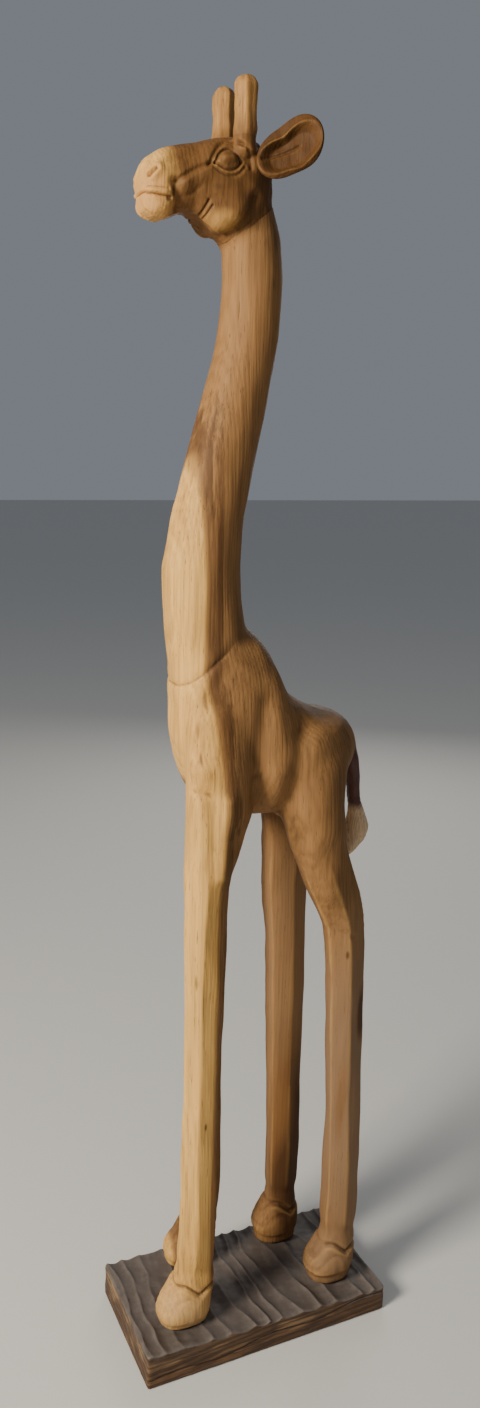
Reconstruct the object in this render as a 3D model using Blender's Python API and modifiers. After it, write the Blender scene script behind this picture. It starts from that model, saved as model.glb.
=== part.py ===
"""Carved wooden giraffe on a plank: a blank glued up over dowels, carved, then screwed to its base.

Metres, +Z up. The origin is the centre of the plank's underside. The giraffe faces -Y and its left
side is +X.
"""

import math

import bmesh
import bpy
from mathutils import Matrix, Vector

GAP = 0.0003
BODY_X = -0.015

PLANK_LENGTH = 0.420
PLANK_WIDTH = 0.218
PLANK_HEAD_THICKNESS = 0.059
PLANK_TAIL_THICKNESS = 0.045
PLANK_EDGE = 0.003

VOXEL = 0.0065
FAIRING_ROUNDS = 4
CARVING_TRIANGLES = 5400
SIDES_CARVED = 22
SIDES_DOWEL = 12
SIDES_TURNED = 16
CHAMFER = 0.0012

# How boxy each superellipse section is: 2 is an ellipse, more is boxier.
TORSO_SQUARENESS = 2.3
NECK_SQUARENESS = 2.1
HEAD_SQUARENESS = 2.4
LEG_SQUARENESS = 2.5
TAIL_SQUARENESS = 2.2

# Cutters reach this far past the statue.
REACH = 0.4
JOINT_REACH = 0.35
REGION_TOP = 2.0
REGION_FOOT = 0.7

LEG_JOINT_Z = 0.858
NECK_JOINT = Vector((BODY_X, -0.080, 1.113))
NECK_JOINT_TILT = math.radians(41)
HEAD_JOINT = Vector((BODY_X, -0.026, 1.694))
HEAD_JOINT_TILT = math.radians(36)
LEG_SPLIT_Y = 0.022
LEG_SPLIT_X = 0.002
TAIL_SEAT_Y = 0.147
TAIL_NOTCH_FOOT = 0.900
TAIL_NOTCH_TOP = 1.000
TAIL_NOTCH_HALF = 0.026

LEG_DOWEL_RADIUS = 0.009
LEG_DOWEL_LENGTH = 0.080
NECK_DOWEL_RADIUS = 0.010
NECK_DOWEL_LENGTH = 0.090
NECK_DOWEL_SPACING = 0.044
HEAD_DOWEL_RADIUS = 0.008
HEAD_DOWEL_LENGTH = 0.060
LEG_DOWEL_Y = {
    "front_left_leg": -0.084,
    "front_right_leg": -0.032,
    "hind_left_leg": 0.086,
    "hind_right_leg": 0.086,
}
TAIL_DOWEL_Z = 0.962
TAIL_DOWEL_RADIUS = 0.005
TAIL_DOWEL_LENGTH = 0.022

SCREW_RADIUS = 0.0028
SCREW_LENGTH = 0.085
SCREW_HEAD_RADIUS = 0.0052
SCREW_HEAD_HEIGHT = 0.0036
SCREW_SINK = 0.004
SCREW_SETBACK = 0.008

HORN_SPREAD = 0.035
HORN_RADIUS = 0.0145
HORN_FOOT = Vector((0.0, -0.046, 1.776))
HORN_HEIGHT = {"left": 0.089, "right": 0.093}
HORN_SEAT_HEIGHT = 0.028
HORN_TENON_RADIUS = 0.0065
HORN_TENON_LENGTH = 0.012
HORN_TIP_HEIGHT = 0.022

EAR_PEG_RADIUS = 0.0055
EAR_PEG_LENGTH = 0.014
EAR_SEAT_RADIUS = 0.011
EAR_ROOT = Vector((0.029, -0.030, 1.760))
EAR_TIP = Vector((0.071, 0.041, 1.802))
EAR_WIDTH = 0.0355
EAR_THICKNESS = 0.009
EAR_FACE = Vector((0.80, -0.60, 0.10))
EAR_DISH_LENGTH = 0.84
EAR_DISH_WIDTH = 0.74
EAR_DISH_LIFT = 0.75
EAR_PEG_RISE = 0.006
EAR_SEAT_DEPTH = 0.001
EAR_SEAT_FLARE = 1.6
EAR_SEAT_REACH = 0.020

# Each leg: [(z, x, y, half depth along Y, half width along X), ...] from the hoof up into the body.
LEGS = {
    "front_left_leg": [
        (0.040, 0.047, -0.128, 0.038, 0.029),
        (0.062, 0.047, -0.129, 0.041, 0.031),
        (0.085, 0.047, -0.126, 0.040, 0.030),
        (0.104, 0.047, -0.119, 0.035, 0.028),
        (0.125, 0.047, -0.111, 0.033, 0.027),
        (0.200, 0.047, -0.104, 0.030, 0.026),
        (0.340, 0.047, -0.105, 0.029, 0.026),
        (0.435, 0.047, -0.103, 0.027, 0.026),
        (0.600, 0.047, -0.100, 0.030, 0.028),
        (0.720, 0.047, -0.099, 0.033, 0.029),
        (0.800, 0.047, -0.096, 0.034, 0.030),
        (0.840, 0.046, -0.088, 0.041, 0.031),
        (0.885, 0.044, -0.078, 0.049, 0.033),
        (0.950, 0.040, -0.070, 0.054, 0.034),
        (1.030, 0.028, -0.066, 0.056, 0.034),
        (1.110, 0.010, -0.064, 0.050, 0.030),
    ],
    "front_right_leg": [
        (0.040, -0.075, -0.072, 0.036, 0.028),
        (0.060, -0.075, -0.073, 0.040, 0.030),
        (0.080, -0.075, -0.070, 0.038, 0.030),
        (0.100, -0.075, -0.062, 0.034, 0.028),
        (0.122, -0.075, -0.053, 0.031, 0.027),
        (0.200, -0.075, -0.046, 0.028, 0.026),
        (0.435, -0.075, -0.043, 0.025, 0.025),
        (0.600, -0.075, -0.041, 0.027, 0.027),
        (0.720, -0.075, -0.040, 0.029, 0.029),
        (0.800, -0.075, -0.038, 0.031, 0.030),
        (0.840, -0.074, -0.035, 0.036, 0.031),
        (0.885, -0.071, -0.034, 0.043, 0.033),
        (0.950, -0.070, -0.036, 0.048, 0.034),
        (1.030, -0.058, -0.044, 0.050, 0.034),
        (1.110, -0.040, -0.050, 0.046, 0.030),
    ],
    "hind_left_leg": [
        (0.040, 0.044, 0.135, 0.034, 0.028),
        (0.055, 0.044, 0.135, 0.038, 0.030),
        (0.078, 0.044, 0.136, 0.040, 0.030),
        (0.100, 0.044, 0.143, 0.035, 0.028),
        (0.120, 0.044, 0.150, 0.031, 0.027),
        (0.200, 0.044, 0.152, 0.030, 0.026),
        (0.340, 0.044, 0.150, 0.028, 0.025),
        (0.550, 0.044, 0.146, 0.030, 0.026),
        (0.640, 0.044, 0.142, 0.031, 0.027),
        (0.690, 0.044, 0.137, 0.032, 0.028),
        (0.725, 0.045, 0.124, 0.036, 0.030),
        (0.770, 0.046, 0.104, 0.040, 0.032),
        (0.820, 0.046, 0.084, 0.044, 0.034),
        (0.880, 0.044, 0.074, 0.049, 0.037),
        (0.950, 0.036, 0.080, 0.051, 0.037),
        (1.005, 0.022, 0.088, 0.042, 0.030),
    ],
    "hind_right_leg": [
        (0.040, -0.075, 0.092, 0.033, 0.028),
        (0.055, -0.075, 0.092, 0.037, 0.030),
        (0.080, -0.075, 0.094, 0.037, 0.030),
        (0.108, -0.075, 0.100, 0.031, 0.028),
        (0.122, -0.075, 0.103, 0.026, 0.024),
        (0.146, -0.075, 0.103, 0.027, 0.025),
        (0.240, -0.075, 0.104, 0.027, 0.026),
        (0.460, -0.075, 0.100, 0.029, 0.027),
        (0.640, -0.075, 0.095, 0.033, 0.029),
        (0.725, -0.075, 0.092, 0.038, 0.031),
        (0.770, -0.074, 0.093, 0.039, 0.032),
        (0.820, -0.072, 0.093, 0.042, 0.034),
        (0.880, -0.069, 0.090, 0.050, 0.036),
        (0.950, -0.064, 0.086, 0.056, 0.037),
        (1.005, -0.052, 0.092, 0.044, 0.030),
    ],
}

# Torso: (y, top z, bottom z, half width), from the chest to the rump.
TORSO = [
    (-0.126, 1.105, 0.990, 0.022),
    (-0.117, 1.145, 0.945, 0.044),
    (-0.098, 1.165, 0.900, 0.062),
    (-0.055, 1.165, 0.872, 0.078),
    (-0.010, 1.144, 0.866, 0.086),
    (0.012, 1.117, 0.864, 0.088),
    (0.028, 1.079, 0.863, 0.088),
    (0.042, 1.052, 0.863, 0.088),
    (0.070, 1.034, 0.864, 0.087),
    (0.100, 1.023, 0.868, 0.082),
    (0.124, 1.018, 0.896, 0.070),
    (0.142, 1.008, 0.920, 0.056),
    (0.154, 0.996, 0.936, 0.042),
    (0.163, 0.978, 0.948, 0.024),
]

# Neck: (z, x, y, half depth along Y, half width along X), from the chest up to the throat.
NECK = [
    (1.030, BODY_X, -0.076, 0.048, 0.056),
    (1.100, BODY_X, -0.074, 0.056, 0.060),
    (1.150, BODY_X, -0.080, 0.057, 0.058),
    (1.190, BODY_X, -0.085, 0.055, 0.056),
    (1.240, BODY_X, -0.087, 0.054, 0.054),
    (1.311, BODY_X, -0.077, 0.050, 0.051),
    (1.392, BODY_X, -0.058, 0.048, 0.049),
    (1.471, BODY_X, -0.038, 0.044, 0.046),
    (1.550, BODY_X, -0.021, 0.042, 0.044),
    (1.626, BODY_X, -0.016, 0.041, 0.043),
    (1.680, BODY_X, -0.020, 0.039, 0.041),
    (1.740, BODY_X, -0.030, 0.030, 0.034),
]

# Head: (y, top z, bottom z, half width), from the muzzle to the nape.
HEAD = [
    (-0.178, 1.742, 1.704, 0.017),
    (-0.175, 1.755, 1.696, 0.026),
    (-0.164, 1.766, 1.689, 0.033),
    (-0.148, 1.774, 1.687, 0.036),
    (-0.132, 1.779, 1.695, 0.036),
    (-0.114, 1.783, 1.703, 0.038),
    (-0.096, 1.788, 1.692, 0.042),
    (-0.078, 1.793, 1.677, 0.046),
    (-0.058, 1.798, 1.666, 0.047),
    (-0.034, 1.797, 1.672, 0.045),
    (-0.014, 1.788, 1.690, 0.038),
    (0.002, 1.768, 1.712, 0.024),
]

# Tail: (z, x, y, half depth along Y, half width along X), from the tip up to the rump.
TAIL = [
    (0.754, BODY_X, 0.172, 0.004, 0.006),
    (0.770, BODY_X, 0.179, 0.009, 0.013),
    (0.795, BODY_X, 0.188, 0.014, 0.018),
    (0.820, BODY_X, 0.191, 0.015, 0.018),
    (0.842, BODY_X, 0.187, 0.011, 0.013),
    (0.865, BODY_X, 0.181, 0.009, 0.011),
    (0.900, BODY_X, 0.177, 0.010, 0.013),
    (0.935, BODY_X, 0.169, 0.013, 0.018),
    (0.965, BODY_X, 0.156, 0.016, 0.022),
    (0.990, BODY_X, 0.140, 0.014, 0.020),
]

for leftover in list(bpy.data.objects):
    bpy.data.objects.remove(leftover, do_unlink=True)

statue = bpy.data.collections.new("carved_giraffe_statue")
bpy.context.scene.collection.children.link(statue)
helpers = bpy.data.collections.new("cutters")
bpy.context.scene.collection.children.link(helpers)


def material(name, colour, roughness, metallic=0.0):
    made = bpy.data.materials.new(name)
    made.use_nodes = True
    shader = made.node_tree.nodes["Principled BSDF"]
    shader.inputs["Base Color"].default_value = (*colour, 1.0)
    shader.inputs["Roughness"].default_value = roughness
    shader.inputs["Metallic"].default_value = metallic
    made.diffuse_color = (*colour, 1.0)
    return made


CARVED_WOOD = ("carved_wood", (0.46, 0.28, 0.13), 0.5)
TAIL_WOOD = ("tail_heartwood", (0.22, 0.09, 0.05), 0.5)
PLANK_WOOD = ("dark_stained_wood", (0.07, 0.05, 0.04), 0.6)
DOWEL_WOOD = ("dowel_wood", (0.60, 0.44, 0.26), 0.6)
STEEL = ("zinc_plated_steel", (0.55, 0.55, 0.52), 0.35, 1.0)


def add_object(name, mesh, collection, look=None):
    obj = bpy.data.objects.new(name, mesh)
    collection.objects.link(obj)
    if look:
        mesh.materials.clear()
        mesh.materials.append(material(f"{look[0]}_{name}", *look[1:]))
    if collection is helpers:
        obj.hide_render = True
        obj.display_type = "WIRE"
    return obj


def mesh_from(bm, name):
    bmesh.ops.recalc_face_normals(bm, faces=bm.faces)
    mesh = bpy.data.meshes.new(name)
    bm.to_mesh(mesh)
    bm.free()
    return mesh


def rounded_ring(centre, across, along, squareness, count=SIDES_CARVED):
    """Points of a superellipse round a centre."""
    ring = []
    for step in range(count):
        turn = math.tau * step / count
        c, s = math.cos(turn), math.sin(turn)
        u = math.copysign(abs(c) ** (2 / squareness), c)
        v = math.copysign(abs(s) ** (2 / squareness), s)
        ring.append(centre + across * u + along * v)
    return ring


def add_loft(bm, rings):
    """A closed skin through rings of equal length, with a flat cap at each end."""
    loops = [[bm.verts.new(point) for point in ring] for ring in rings]
    count = len(loops[0])
    for low, high in zip(loops, loops[1:]):
        for step in range(count):
            after = (step + 1) % count
            bm.faces.new((low[step], low[after], high[after], high[step]))
    bm.faces.new(loops[0][::-1])
    bm.faces.new(loops[-1])


def upright_rings(stations, squareness):
    """Level sections, for what stands up: the neck, the legs and the tail."""
    return [
        rounded_ring(Vector((x, y, z)), Vector((width, 0, 0)), Vector((0, depth, 0)), squareness)
        for z, x, y, depth, width in stations
    ]


def lying_rings(stations, squareness):
    """Sections square to Y, for what lies along the giraffe: the torso and the head."""
    rings = []
    for y, top, bottom, width in stations:
        centre = Vector((BODY_X, y, (top + bottom) / 2))
        rise = Vector((0, 0, (top - bottom) / 2))
        rings.append(rounded_ring(centre, Vector((width, 0, 0)), rise, squareness))
    return rings


def evaluated_mesh(obj):
    """The object's mesh with its modifiers applied."""
    graph = bpy.context.evaluated_depsgraph_get()
    return bpy.data.meshes.new_from_object(obj.evaluated_get(graph), depsgraph=graph)


def carved_blank():
    """The whole animal without its horns, ears and tail, as one smooth closed skin."""
    bm = bmesh.new()
    add_loft(bm, lying_rings(TORSO, TORSO_SQUARENESS))
    add_loft(bm, upright_rings(NECK, NECK_SQUARENESS))
    add_loft(bm, lying_rings(HEAD, HEAD_SQUARENESS))
    for stations in LEGS.values():
        add_loft(bm, upright_rings(stations, LEG_SQUARENESS))
    blank = add_object("blank", mesh_from(bm, "blank"), helpers)
    skin = blank.modifiers.new("skin", "REMESH")
    skin.mode = "VOXEL"
    skin.voxel_size = VOXEL
    fair = blank.modifiers.new("fair", "SMOOTH")
    fair.factor = 0.5
    fair.iterations = FAIRING_ROUNDS
    faces = len(evaluated_mesh(blank).polygons) * 2
    thin = blank.modifiers.new("thin", "DECIMATE")
    thin.ratio = CARVING_TRIANGLES / faces
    return add_object("carving", evaluated_mesh(blank), helpers)


def boolean(obj, other, operation):
    step = obj.modifiers.new(f"{operation.lower()}_{other.name}", "BOOLEAN")
    step.operation = operation
    step.solver = "EXACT"
    step.object = other


def prism(name, outline, x_range):
    """A cutter: an outline in the YZ plane, run along X."""
    bm = bmesh.new()
    low, high = x_range
    near = [bm.verts.new((low, y, z)) for y, z in outline]
    far = [bm.verts.new((high, y, z)) for y, z in outline]
    for step in range(len(outline)):
        after = (step + 1) % len(outline)
        bm.faces.new((near[step], near[after], far[after], far[step]))
    bm.faces.new(near)
    bm.faces.new(far)
    return add_object(name, mesh_from(bm, name), helpers)


def turned(bm, profile, sides):
    """A solid turned about Z from its profile of (radius, z), bottom to top."""
    rings = []
    for radius, z in profile:
        centre = Vector((0, 0, z))
        rings.append(
            rounded_ring(centre, Vector((radius, 0, 0)), Vector((0, radius, 0)), 2, sides)
        )
    add_loft(bm, rings)


def peg_mesh(bm, radius, length):
    """A round peg along Z about the origin with chamfered ends."""
    profile = [
        (radius - CHAMFER, -length / 2),
        (radius, -length / 2 + CHAMFER),
        (radius, length / 2 - CHAMFER),
        (radius - CHAMFER, length / 2),
    ]
    turned(bm, profile, SIDES_DOWEL)


def placed(name, build, matrix, collection, look=None):
    bm = bmesh.new()
    build(bm)
    bmesh.ops.transform(bm, matrix=matrix, verts=bm.verts)
    return add_object(name, mesh_from(bm, name), collection, look)


def dowel(name, centre, tilt, radius, length):
    """A dowel and the cutter of its socket. Tilt turns its axis from +Z towards -Y."""
    matrix = Matrix.Translation(centre) @ Matrix.Rotation(tilt, 4, "X")
    placed(name, lambda bm: peg_mesh(bm, radius, length), matrix, statue, DOWEL_WOOD)
    return placed(
        f"{name}_socket",
        lambda bm: peg_mesh(bm, radius + GAP, length + 2 * GAP),
        matrix,
        helpers,
    )


def plank_top(y):
    run = (y + PLANK_LENGTH / 2) / PLANK_LENGTH
    return PLANK_HEAD_THICKNESS + run * (PLANK_TAIL_THICKNESS - PLANK_HEAD_THICKNESS)


def side_line(point, tilt, offset):
    """Two ends of a line in YZ through a point, tilted up towards +Y and pushed along its normal."""
    along = Vector((0, math.cos(tilt), math.sin(tilt)))
    normal = Vector((0, -math.sin(tilt), math.cos(tilt)))
    start = point + normal * offset - along * JOINT_REACH
    end = point + normal * offset + along * JOINT_REACH
    return (start.y, start.z), (end.y, end.z)


def base_plank():
    half = PLANK_LENGTH / 2
    outline = [
        (-half, 0.0),
        (half, 0.0),
        (half, plank_top(half)),
        (-half, plank_top(-half)),
    ]
    block = prism("base_plank", outline, (-PLANK_WIDTH / 2, PLANK_WIDTH / 2))
    helpers.objects.unlink(block)
    statue.objects.link(block)
    block.hide_render = False
    block.display_type = "TEXTURED"
    block.data.materials.append(material(f"{PLANK_WOOD[0]}_base_plank", *PLANK_WOOD[1:]))
    edges = block.modifiers.new("worn_edges", "BEVEL")
    edges.width = PLANK_EDGE
    edges.segments = 2
    edges.limit_method = "ANGLE"
    return block


def piece(name, carving, region, look=CARVED_WOOD):
    """The part of the carving inside a region, with its flat glue faces."""
    obj = add_object(name, carving.data.copy(), statue, look)
    boolean(obj, region, "INTERSECT")
    return obj


def foot_screw(name, x, y):
    """A countersunk screw driven up through the plank, and the cutter of its hole."""
    profile = [
        (SCREW_HEAD_RADIUS, 0.0),
        (SCREW_RADIUS, SCREW_HEAD_HEIGHT),
        (SCREW_RADIUS, SCREW_LENGTH - 2 * SCREW_RADIUS),
        (SCREW_RADIUS * 0.2, SCREW_LENGTH),
    ]
    hole = [
        (SCREW_HEAD_RADIUS + GAP, -2 * SCREW_SINK),
        (SCREW_HEAD_RADIUS + GAP, -GAP / 2),
        (SCREW_RADIUS + GAP, SCREW_HEAD_HEIGHT + GAP / 2),
        (SCREW_RADIUS + GAP, SCREW_LENGTH - 2 * SCREW_RADIUS + GAP),
        (SCREW_RADIUS * 0.2 + GAP, SCREW_LENGTH + GAP),
    ]
    matrix = Matrix.Translation((x, y, SCREW_SINK))
    placed(name, lambda bm: turned(bm, profile, SIDES_TURNED), matrix, statue, STEEL)
    return placed(f"{name}_hole", lambda bm: turned(bm, hole, SIDES_TURNED), matrix, helpers)


def horn(name, side, height):
    """A blunt horn with a round tenon under it, and the cutter of its mortise."""
    tenon = HORN_TENON_LENGTH
    profile = [
        (HORN_TENON_RADIUS, -tenon),
        (HORN_TENON_RADIUS, 0.0),
        (HORN_RADIUS, 0.0),
        (HORN_RADIUS, HORN_SEAT_HEIGHT),
        (HORN_RADIUS, height - HORN_TIP_HEIGHT),
        (HORN_RADIUS * 1.02, height - HORN_TIP_HEIGHT / 2),
        (HORN_RADIUS * 0.80, height - HORN_TIP_HEIGHT / 5),
        (HORN_RADIUS * 0.35, height),
    ]
    mortise = [
        (HORN_TENON_RADIUS + GAP, -tenon - GAP),
        (HORN_TENON_RADIUS + GAP, -GAP),
        (HORN_RADIUS + GAP, -GAP),
        (HORN_RADIUS + GAP, HORN_SEAT_HEIGHT),
    ]
    matrix = Matrix.Translation(HORN_FOOT + Vector((BODY_X + side * HORN_SPREAD, 0, 0)))
    placed(name, lambda bm: turned(bm, profile, SIDES_TURNED), matrix, statue, CARVED_WOOD)
    return placed(f"{name}_mortise", lambda bm: turned(bm, mortise, SIDES_TURNED), matrix, helpers)


def ear(name, side):
    """A dished leaf with a round peg at its root, and the cutter of its seat in the head."""
    root = Vector((BODY_X + side * (EAR_ROOT.x - BODY_X), EAR_ROOT.y, EAR_ROOT.z))
    tip = Vector((BODY_X + side * (EAR_TIP.x - BODY_X), EAR_TIP.y, EAR_TIP.z))
    along = (tip - root).normalized()
    outward = Vector((side * EAR_FACE.x, EAR_FACE.y, EAR_FACE.z))
    face = (outward - along * outward.dot(along)).normalized()
    across = face.cross(along)
    length = (tip - root).length
    axes = Matrix((along, across, face)).transposed().to_4x4()
    leaf = Matrix.Translation(root + along * length / 2) @ axes
    shell = placed(
        name,
        lambda bm: leaf_body(bm, length / 2, EAR_WIDTH, EAR_THICKNESS),
        leaf,
        statue,
        CARVED_WOOD,
    )
    dish = placed(
        f"{name}_dish",
        lambda bm: leaf_body(
            bm, length / 2 * EAR_DISH_LENGTH, EAR_WIDTH * EAR_DISH_WIDTH, EAR_THICKNESS
        ),
        Matrix.Translation(face * EAR_THICKNESS * EAR_DISH_LIFT) @ leaf,
        helpers,
    )
    turn = Matrix.Translation(root) @ along.to_track_quat("Z", "Y").to_matrix().to_4x4()
    peg = [(EAR_PEG_RADIUS, -EAR_PEG_LENGTH), (EAR_PEG_RADIUS, EAR_PEG_RISE)]
    foot = placed(f"{name}_peg", lambda bm: turned(bm, peg, SIDES_TURNED), turn, helpers)
    boolean(shell, dish, "DIFFERENCE")
    boolean(shell, foot, "UNION")
    seat = [
        (EAR_PEG_RADIUS + GAP, -EAR_PEG_LENGTH - GAP),
        (EAR_PEG_RADIUS + GAP, -GAP - EAR_SEAT_DEPTH),
        (EAR_SEAT_RADIUS, -GAP - EAR_SEAT_DEPTH),
        (EAR_SEAT_RADIUS * EAR_SEAT_FLARE, EAR_SEAT_REACH),
    ]
    return placed(f"{name}_seat", lambda bm: turned(bm, seat, SIDES_TURNED), turn, helpers)


def leaf_body(bm, half_length, half_width, half_thickness):
    bmesh.ops.create_uvsphere(bm, u_segments=SIDES_TURNED, v_segments=8, radius=1.0)
    bmesh.ops.transform(
        bm,
        matrix=Matrix.Diagonal((half_length, half_width, half_thickness, 1.0)),
        verts=bm.verts,
    )


carving = carved_blank()

neck_low = side_line(NECK_JOINT, NECK_JOINT_TILT, -GAP / 2)
neck_high = side_line(NECK_JOINT, NECK_JOINT_TILT, GAP / 2)
head_low = side_line(HEAD_JOINT, HEAD_JOINT_TILT, -GAP / 2)
head_high = side_line(HEAD_JOINT, HEAD_JOINT_TILT, GAP / 2)
leg_top = LEG_JOINT_Z - GAP / 2
torso_foot = LEG_JOINT_Z + GAP / 2
ALL_X = (-REACH, REACH)

torso_outline = [*neck_low, (REACH, torso_foot), (-REACH, torso_foot)]
torso_region = prism("torso_region", torso_outline, ALL_X)
neck_region = prism("neck_region", [*neck_high, *head_low[::-1]], ALL_X)
head_outline = [*head_high, (REACH, REGION_TOP), (-REACH, REGION_TOP)]
head_region = prism("head_region", head_outline, ALL_X)

torso = piece("torso", carving, torso_region)
neck = piece("neck", carving, neck_region)
head = piece("head", carving, head_region)

for number in range(2):
    slide = (number - 0.5) * NECK_DOWEL_SPACING
    along_joint = Vector((0, math.cos(NECK_JOINT_TILT), math.sin(NECK_JOINT_TILT)))
    socket = dowel(
        ("neck_dowel_front", "neck_dowel_rear")[number],
        NECK_JOINT + along_joint * slide,
        NECK_JOINT_TILT,
        NECK_DOWEL_RADIUS,
        NECK_DOWEL_LENGTH,
    )
    boolean(torso, socket, "DIFFERENCE")
    boolean(neck, socket, "DIFFERENCE")

socket = dowel("head_dowel", HEAD_JOINT, HEAD_JOINT_TILT, HEAD_DOWEL_RADIUS, HEAD_DOWEL_LENGTH)
boolean(neck, socket, "DIFFERENCE")
boolean(head, socket, "DIFFERENCE")

for name, side in (("left", 1), ("right", -1)):
    boolean(head, horn(f"{name}_horn", side, HORN_HEIGHT[name]), "DIFFERENCE")
    boolean(head, ear(f"{name}_ear", side), "DIFFERENCE")

plank = base_plank()
for name, stations in LEGS.items():
    foot_x, foot_y = stations[1][1:3]
    ends = (-REACH, LEG_SPLIT_Y) if name.startswith("front") else (LEG_SPLIT_Y, REACH)
    outline = [
        (ends[0], plank_top(ends[0]) + GAP),
        (ends[1], plank_top(ends[1]) + GAP),
        (ends[1], leg_top),
        (ends[0], leg_top),
    ]
    inner = BODY_X + math.copysign(LEG_SPLIT_X, foot_x)
    region = prism(f"{name}_region", outline, sorted((inner, math.copysign(REACH, foot_x))))
    leg = piece(name, carving, region)
    short = name.removesuffix("_leg")
    centre = Vector((foot_x, LEG_DOWEL_Y[name], LEG_JOINT_Z))
    socket = dowel(f"{short}_leg_dowel", centre, 0, LEG_DOWEL_RADIUS, LEG_DOWEL_LENGTH)
    boolean(leg, socket, "DIFFERENCE")
    boolean(torso, socket, "DIFFERENCE")
    hole = foot_screw(f"{short}_foot_screw", foot_x, foot_y + SCREW_SETBACK)
    boolean(leg, hole, "DIFFERENCE")
    boolean(plank, hole, "DIFFERENCE")

notch = prism(
    "tail_notch",
    [
        (TAIL_SEAT_Y, TAIL_NOTCH_FOOT),
        (REACH, TAIL_NOTCH_FOOT),
        (REACH, TAIL_NOTCH_TOP),
        (TAIL_SEAT_Y, TAIL_NOTCH_TOP),
    ],
    (BODY_X - TAIL_NOTCH_HALF, BODY_X + TAIL_NOTCH_HALF),
)
boolean(torso, notch, "DIFFERENCE")
tail_half = TAIL_NOTCH_HALF - GAP
tail_region = prism(
    "tail_region",
    [
        (TAIL_SEAT_Y + GAP, REGION_FOOT),
        (REACH, REGION_FOOT),
        (REACH, TAIL_NOTCH_TOP - GAP),
        (TAIL_SEAT_Y + GAP, TAIL_NOTCH_TOP - GAP),
    ],
    (BODY_X - tail_half, BODY_X + tail_half),
)
strands = bmesh.new()
add_loft(strands, upright_rings(TAIL, TAIL_SQUARENESS))
tail = add_object("tail", mesh_from(strands, "tail"), statue, TAIL_WOOD)
boolean(tail, tail_region, "INTERSECT")
socket = dowel(
    "tail_dowel",
    Vector((BODY_X, TAIL_SEAT_Y, TAIL_DOWEL_Z)),
    math.radians(90),
    TAIL_DOWEL_RADIUS,
    TAIL_DOWEL_LENGTH,
)
boolean(tail, socket, "DIFFERENCE")
boolean(torso, socket, "DIFFERENCE")
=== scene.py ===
"""A carved wooden giraffe on a gouged, dark stained plank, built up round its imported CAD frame."""

import math

import bmesh
import bpy
import numpy as np
from mathutils import Matrix, Vector


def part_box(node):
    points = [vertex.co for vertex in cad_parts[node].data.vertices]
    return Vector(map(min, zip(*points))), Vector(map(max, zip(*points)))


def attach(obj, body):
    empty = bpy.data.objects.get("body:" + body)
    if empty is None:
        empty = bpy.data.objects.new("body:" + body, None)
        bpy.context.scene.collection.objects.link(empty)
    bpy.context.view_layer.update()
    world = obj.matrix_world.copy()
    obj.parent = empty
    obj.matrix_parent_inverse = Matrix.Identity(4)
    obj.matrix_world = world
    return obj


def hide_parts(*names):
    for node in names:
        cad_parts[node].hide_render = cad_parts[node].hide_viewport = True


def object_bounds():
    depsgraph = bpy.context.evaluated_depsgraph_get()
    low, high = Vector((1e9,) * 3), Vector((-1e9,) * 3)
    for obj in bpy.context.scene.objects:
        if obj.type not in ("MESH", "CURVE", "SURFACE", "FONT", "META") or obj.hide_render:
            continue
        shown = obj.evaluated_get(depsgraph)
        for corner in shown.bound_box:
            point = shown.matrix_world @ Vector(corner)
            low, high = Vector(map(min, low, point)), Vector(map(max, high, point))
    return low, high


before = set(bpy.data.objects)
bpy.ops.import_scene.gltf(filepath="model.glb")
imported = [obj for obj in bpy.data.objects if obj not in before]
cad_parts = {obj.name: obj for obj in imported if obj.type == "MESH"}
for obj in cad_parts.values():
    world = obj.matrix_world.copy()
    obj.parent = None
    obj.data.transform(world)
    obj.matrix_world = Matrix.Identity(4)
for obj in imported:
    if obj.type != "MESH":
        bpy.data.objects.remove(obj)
cad_low, cad_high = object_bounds()


# The view: the eye stands to the left of the statue's head end, a little above its back.
# The light is a large soft window on the head's side, with a weak fill, a low lamp behind for
# the far side, and a plain pale floor.
EYE = Vector((1.4119, -0.6745, 1.3940))
EYE_RIGHT = Vector((0.41215, 0.91091, 0.01939))
EYE_UP = Vector((-0.21185, 0.07511, 0.97441))
LENS = 27.77
SENSOR_WIDTH = 36.0

# Each lamp: its place, what it is aimed at, its width in metres, its watts and its colour.
LAMPS = {
    "window": ((0.85, -2.8, 2.3), (0.0, 0.0, 1.05), 1.1, 185, (1.0, 0.93, 0.80)),
    "fill": ((2.4, -1.6, 1.6), (0.0, 0.0, 0.7), 2.5, 7, (1.0, 0.96, 0.90)),
    "back": ((-2.8, 1.8, 2.1), (0.0, 0.0, 0.9), 2.2, 30, (1.0, 0.96, 0.90)),
}
ROOM_COLOUR = (0.75, 0.81, 0.91, 1.0)
ROOM_STRENGTH = 0.25
FLOOR_SIZE = 60.0
FLOOR_DROP = 0.0005
FLOOR_PALE = (0.62, 0.61, 0.58, 1.0)
FLOOR_ROUGHNESS = 0.75

camera_data = bpy.data.cameras.new("camera")
camera_data.lens = LENS
camera_data.sensor_width = SENSOR_WIDTH
camera_data.sensor_fit = "AUTO"
camera = bpy.data.objects.new("camera", camera_data)
bpy.context.scene.collection.objects.link(camera)
right = EYE_RIGHT.normalized()
backward = right.cross(EYE_UP).normalized()
upward = backward.cross(right)
camera.matrix_world = Matrix.Translation(EYE) @ Matrix((right, upward, backward)).transposed().to_4x4()
bpy.context.scene.camera = camera

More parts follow.
